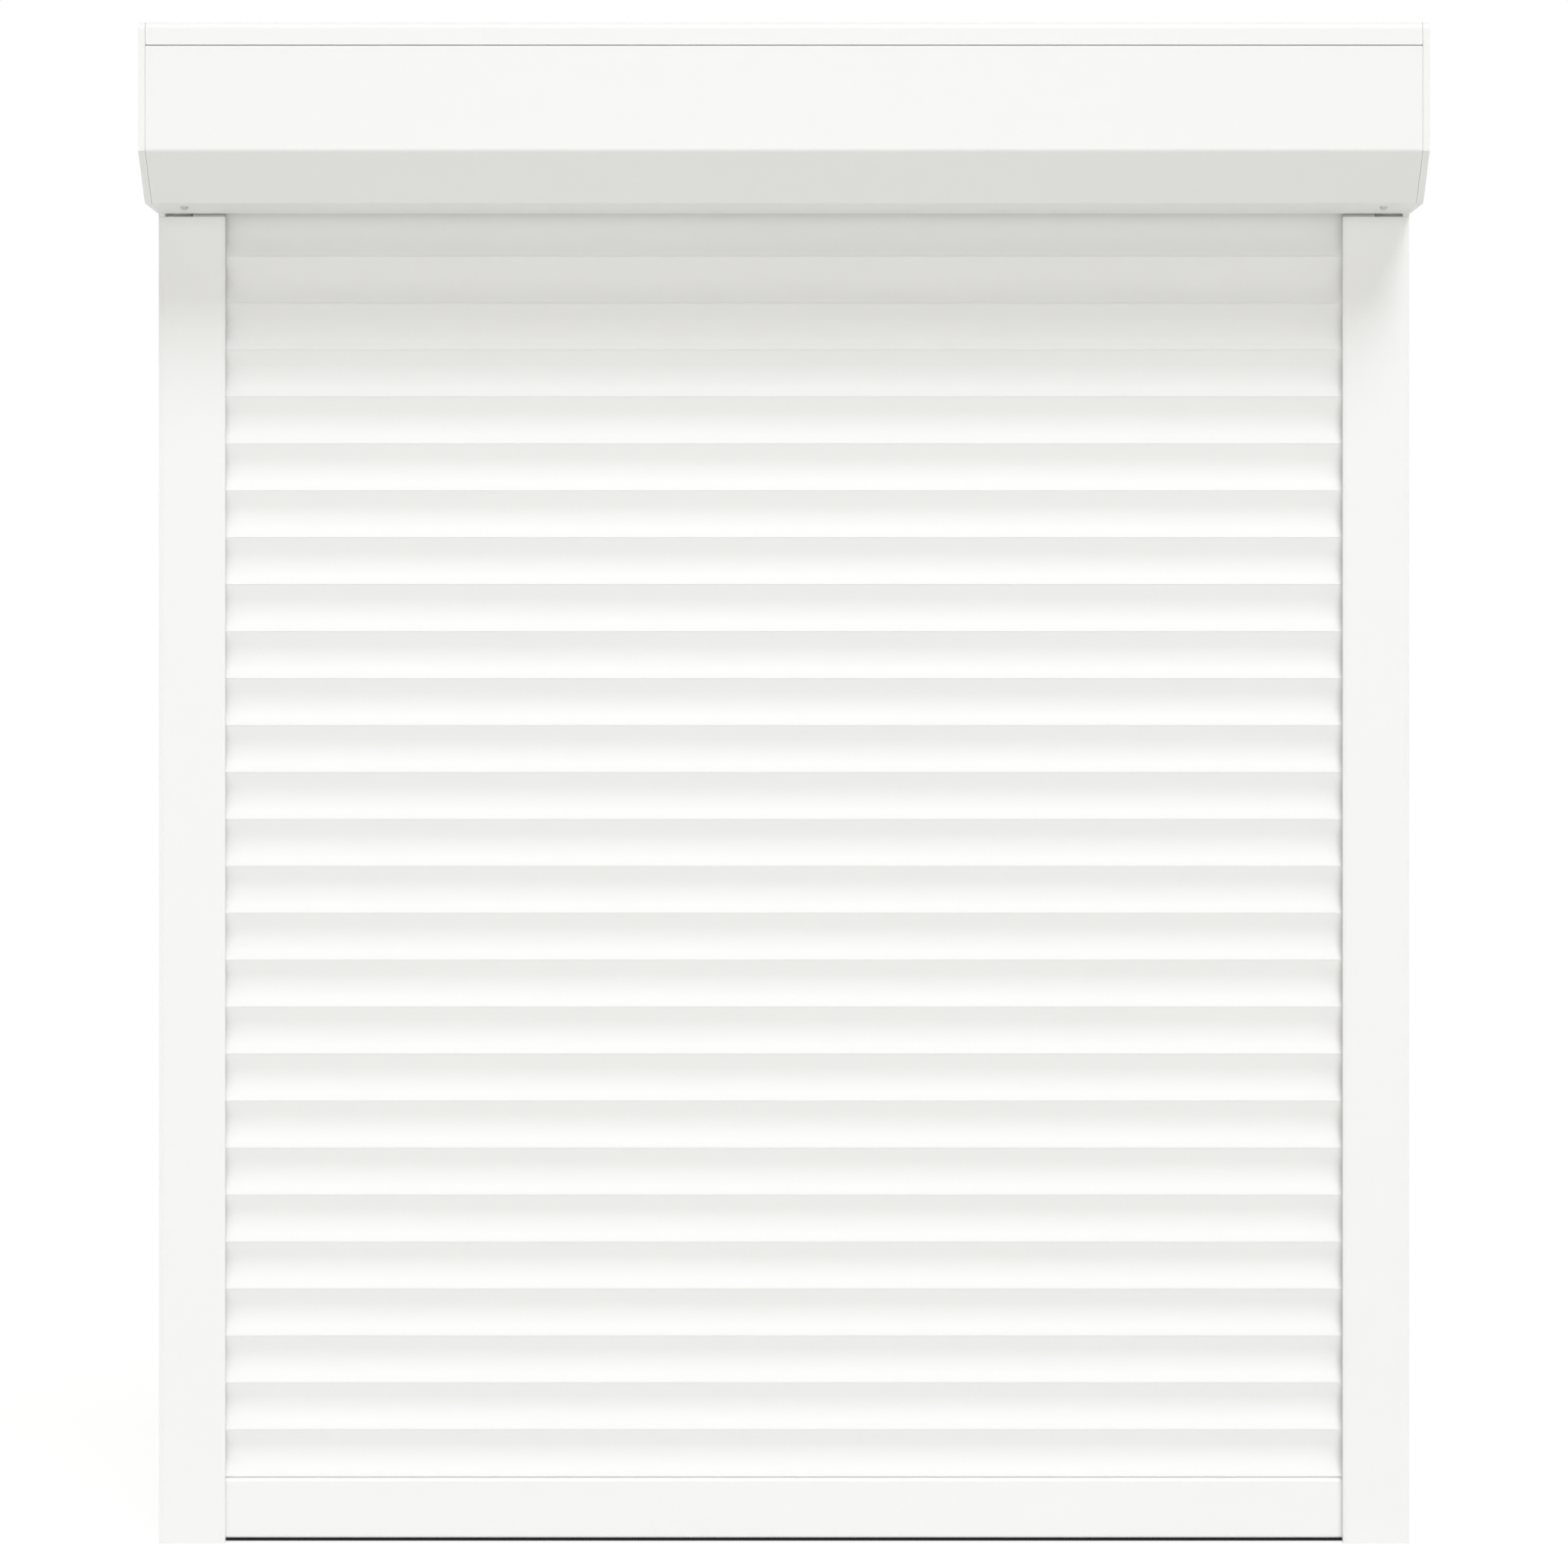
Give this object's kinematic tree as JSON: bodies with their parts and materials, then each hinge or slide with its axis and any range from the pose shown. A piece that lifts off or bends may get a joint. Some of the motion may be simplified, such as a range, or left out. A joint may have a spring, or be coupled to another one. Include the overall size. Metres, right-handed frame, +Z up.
{
  "type": "exterior roller shutter",
  "caption": "White exterior roller shutter with a bevelled square box, two guide rails, a curtain of hooked slats and a sealed end bar, wound by a motor in an octagonal tube.",
  "frame": {"origin": "on the wall plane, in the middle of the width, at the foot of the guide rails", "axes": "+X to the right seen from the street, +Y into the wall, +Z up"},
  "size_m": [1, 0.137, 1.2],
  "materials": {
    "box_white": "satin white powder coat",
    "cap_white": "satin white powder coat on a casting",
    "rail_white": "satin white powder coat",
    "slat_white": "satin white stove enamel",
    "bar_white": "satin white powder coat",
    "brush_grey": "matte pile",
    "dark_plastic": "matte",
    "grey_plastic": "matte",
    "black_plastic": "matte",
    "zinc_steel": "zinc plated",
    "screw_steel": "dull plated",
    "bright_steel": "polished",
    "motor_paint": "satin paint",
    "black_rubber": "matte"
  },
  "bodies": {
    "frame": {"back_shell": "box_white", "front_cover": "box_white", "left_end_cap": "cap_white", "right_end_cap": "cap_white", "left_guide_rail": "rail_white", "right_guide_rail": "rail_white", "left_rail_brushes": "brush_grey", "right_rail_brushes": "brush_grey", "left_inlet_guide": "grey_plastic", "right_inlet_guide": "grey_plastic", "motor_head": "dark_plastic", "motor_bracket": "zinc_steel", "bearing_holder": "zinc_steel", "cover_screws": "screw_steel", "bracket_screws": "screw_steel", "bearing_outer_ring": "bright_steel", "motor_casing": "motor_paint", "cable_grommet": "black_rubber"},
    "roller": {"roller_tube": "zinc_steel", "crown_adapter": "black_plastic", "drive_wheel": "black_plastic", "motor_output_shaft": "bright_steel", "tube_capsule": "black_plastic", "capsule_pin": "bright_steel", "bearing_inner_ring": "bright_steel", "suspension_bands": "zinc_steel"},
    "ball_cage": {"bearing_balls": "bright_steel"},
    "end_bar": {"end_bar": "bar_white", "end_bar_seal": "black_rubber", "end_bar_plugs": "dark_plastic"},
    "slat_01": {"slat_01": "slat_white"},
    "slat_02": {"slat_02": "slat_white"},
    "slat_03": {"slat_03": "slat_white"},
    "slat_04": {"slat_04": "slat_white"},
    "slat_05": {"slat_05": "slat_white"},
    "slat_06": {"slat_06": "slat_white"},
    "slat_07": {"slat_07": "slat_white"},
    "slat_08": {"slat_08": "slat_white"},
    "slat_09": {"slat_09": "slat_white"},
    "slat_10": {"slat_10": "slat_white"},
    "slat_11": {"slat_11": "slat_white"},
    "slat_12": {"slat_12": "slat_white"},
    "slat_13": {"slat_13": "slat_white"},
    "slat_14": {"slat_14": "slat_white"},
    "slat_15": {"slat_15": "slat_white"},
    "slat_16": {"slat_16": "slat_white"},
    "slat_17": {"slat_17": "slat_white"},
    "slat_18": {"slat_18": "slat_white"},
    "slat_19": {"slat_19": "slat_white"},
    "slat_20": {"slat_20": "slat_white"},
    "slat_21": {"slat_21": "slat_white"},
    "slat_22": {"slat_22": "slat_white"},
    "slat_23": {"slat_23": "slat_white"},
    "slat_24": {"slat_24": "slat_white"},
    "slat_25": {"slat_25": "slat_white"},
    "slat_26": {"slat_26": "slat_white"},
    "slat_27": {"slat_27": "slat_white"}
  },
  "joints": [
    {"name": "tube_spin", "type": "hinge", "parent": "frame", "child": "roller", "pos_m": [0, -0.0685, 1.1315], "axis": [1, 0, 0], "range_deg": [0, 360], "deforming": ["suspension_bands"]},
    {"name": "ball_cage_orbit", "type": "hinge", "parent": "frame", "child": "ball_cage", "pos_m": [0, -0.0685, 1.1315], "axis": [1, 0, 0], "range_deg": [0, 137.8]},
    {"name": "end_bar_lift", "type": "slide", "parent": "frame", "child": "end_bar", "axis": [0, 0, 1], "range_m": [0, 0.08247]},
    {"name": "slat_01_lift", "type": "slide", "parent": "frame", "child": "slat_01", "axis": [0, 0, 1], "range_m": [0, 0.08407]},
    {"name": "slat_02_lift", "type": "slide", "parent": "frame", "child": "slat_02", "axis": [0, 0, 1], "range_m": [0, 0.08567]},
    {"name": "slat_03_lift", "type": "slide", "parent": "frame", "child": "slat_03", "axis": [0, 0, 1], "range_m": [0, 0.08727]},
    {"name": "slat_04_lift", "type": "slide", "parent": "frame", "child": "slat_04", "axis": [0, 0, 1], "range_m": [0, 0.08887]},
    {"name": "slat_05_lift", "type": "slide", "parent": "frame", "child": "slat_05", "axis": [0, 0, 1], "range_m": [0, 0.09047]},
    {"name": "slat_06_lift", "type": "slide", "parent": "frame", "child": "slat_06", "axis": [0, 0, 1], "range_m": [0, 0.09207]},
    {"name": "slat_07_lift", "type": "slide", "parent": "frame", "child": "slat_07", "axis": [0, 0, 1], "range_m": [0, 0.09367]},
    {"name": "slat_08_lift", "type": "slide", "parent": "frame", "child": "slat_08", "axis": [0, 0, 1], "range_m": [0, 0.09527]},
    {"name": "slat_09_lift", "type": "slide", "parent": "frame", "child": "slat_09", "axis": [0, 0, 1], "range_m": [0, 0.09687]},
    {"name": "slat_10_lift", "type": "slide", "parent": "frame", "child": "slat_10", "axis": [0, 0, 1], "range_m": [0, 0.09847]},
    {"name": "slat_11_lift", "type": "slide", "parent": "frame", "child": "slat_11", "axis": [0, 0, 1], "range_m": [0, 0.10007]},
    {"name": "slat_12_lift", "type": "slide", "parent": "frame", "child": "slat_12", "axis": [0, 0, 1], "range_m": [0, 0.10167]},
    {"name": "slat_13_lift", "type": "slide", "parent": "frame", "child": "slat_13", "axis": [0, 0, 1], "range_m": [0, 0.10327]},
    {"name": "slat_14_lift", "type": "slide", "parent": "frame", "child": "slat_14", "axis": [0, 0, 1], "range_m": [0, 0.10487]},
    {"name": "slat_15_lift", "type": "slide", "parent": "frame", "child": "slat_15", "axis": [0, 0, 1], "range_m": [0, 0.10647]},
    {"name": "slat_16_lift", "type": "slide", "parent": "frame", "child": "slat_16", "axis": [0, 0, 1], "range_m": [0, 0.10807]},
    {"name": "slat_17_lift", "type": "slide", "parent": "frame", "child": "slat_17", "axis": [0, 0, 1], "range_m": [0, 0.10967]},
    {"name": "slat_18_lift", "type": "slide", "parent": "frame", "child": "slat_18", "axis": [0, 0, 1], "range_m": [0, 0.11127]},
    {"name": "slat_19_lift", "type": "slide", "parent": "frame", "child": "slat_19", "axis": [0, 0, 1], "range_m": [0, 0.11287]},
    {"name": "slat_20_lift", "type": "slide", "parent": "frame", "child": "slat_20", "axis": [0, 0, 1], "range_m": [0, 0.11447]},
    {"name": "slat_21_lift", "type": "slide", "parent": "frame", "child": "slat_21", "axis": [0, 0, 1], "range_m": [0, 0.11607]},
    {"name": "slat_22_lift", "type": "slide", "parent": "frame", "child": "slat_22", "axis": [0, 0, 1], "range_m": [0, 0.11767]},
    {"name": "slat_23_lift", "type": "slide", "parent": "frame", "child": "slat_23", "axis": [0, 0, 1], "range_m": [0, 0.11927]},
    {"name": "slat_24_lift", "type": "slide", "parent": "frame", "child": "slat_24", "axis": [0, 0, 1], "range_m": [0, 0.12087]},
    {"name": "slat_25_lift", "type": "slide", "parent": "frame", "child": "slat_25", "axis": [0, 0, 1], "range_m": [0, 0.12247]},
    {"name": "slat_26_lift", "type": "slide", "parent": "frame", "child": "slat_26", "axis": [0, 0, 1], "range_m": [0, 0.12407]},
    {"name": "slat_27_lift", "type": "slide", "parent": "frame", "child": "slat_27", "axis": [0, 0, 1], "range_m": [0, 0.12567]}
  ],
  "couplings": [
    {"joint": "ball_cage_orbit", "follows": "tube_spin", "ratio": 0.3825},
    {"joint": "end_bar_lift", "follows": "tube_spin", "m_per_rad": 0.013125},
    {"joint": "slat_01_lift", "follows": "tube_spin", "m_per_rad": 0.013379},
    {"joint": "slat_02_lift", "follows": "tube_spin", "m_per_rad": 0.013634},
    {"joint": "slat_03_lift", "follows": "tube_spin", "m_per_rad": 0.013888},
    {"joint": "slat_04_lift", "follows": "tube_spin", "m_per_rad": 0.014143},
    {"joint": "slat_05_lift", "follows": "tube_spin", "m_per_rad": 0.014398},
    {"joint": "slat_06_lift", "follows": "tube_spin", "m_per_rad": 0.014652},
    {"joint": "slat_07_lift", "follows": "tube_spin", "m_per_rad": 0.014907},
    {"joint": "slat_08_lift", "follows": "tube_spin", "m_per_rad": 0.015162},
    {"joint": "slat_09_lift", "follows": "tube_spin", "m_per_rad": 0.015416},
    {"joint": "slat_10_lift", "follows": "tube_spin", "m_per_rad": 0.015671},
    {"joint": "slat_11_lift", "follows": "tube_spin", "m_per_rad": 0.015926},
    {"joint": "slat_12_lift", "follows": "tube_spin", "m_per_rad": 0.01618},
    {"joint": "slat_13_lift", "follows": "tube_spin", "m_per_rad": 0.016435},
    {"joint": "slat_14_lift", "follows": "tube_spin", "m_per_rad": 0.01669},
    {"joint": "slat_15_lift", "follows": "tube_spin", "m_per_rad": 0.016944},
    {"joint": "slat_16_lift", "follows": "tube_spin", "m_per_rad": 0.017199},
    {"joint": "slat_17_lift", "follows": "tube_spin", "m_per_rad": 0.017454},
    {"joint": "slat_18_lift", "follows": "tube_spin", "m_per_rad": 0.017708},
    {"joint": "slat_19_lift", "follows": "tube_spin", "m_per_rad": 0.017963},
    {"joint": "slat_20_lift", "follows": "tube_spin", "m_per_rad": 0.018217},
    {"joint": "slat_21_lift", "follows": "tube_spin", "m_per_rad": 0.018472},
    {"joint": "slat_22_lift", "follows": "tube_spin", "m_per_rad": 0.018727},
    {"joint": "slat_23_lift", "follows": "tube_spin", "m_per_rad": 0.018981},
    {"joint": "slat_24_lift", "follows": "tube_spin", "m_per_rad": 0.019236},
    {"joint": "slat_25_lift", "follows": "tube_spin", "m_per_rad": 0.019491},
    {"joint": "slat_26_lift", "follows": "tube_spin", "m_per_rad": 0.019745},
    {"joint": "slat_27_lift", "follows": "tube_spin", "m_per_rad": 0.02}
  ]
}
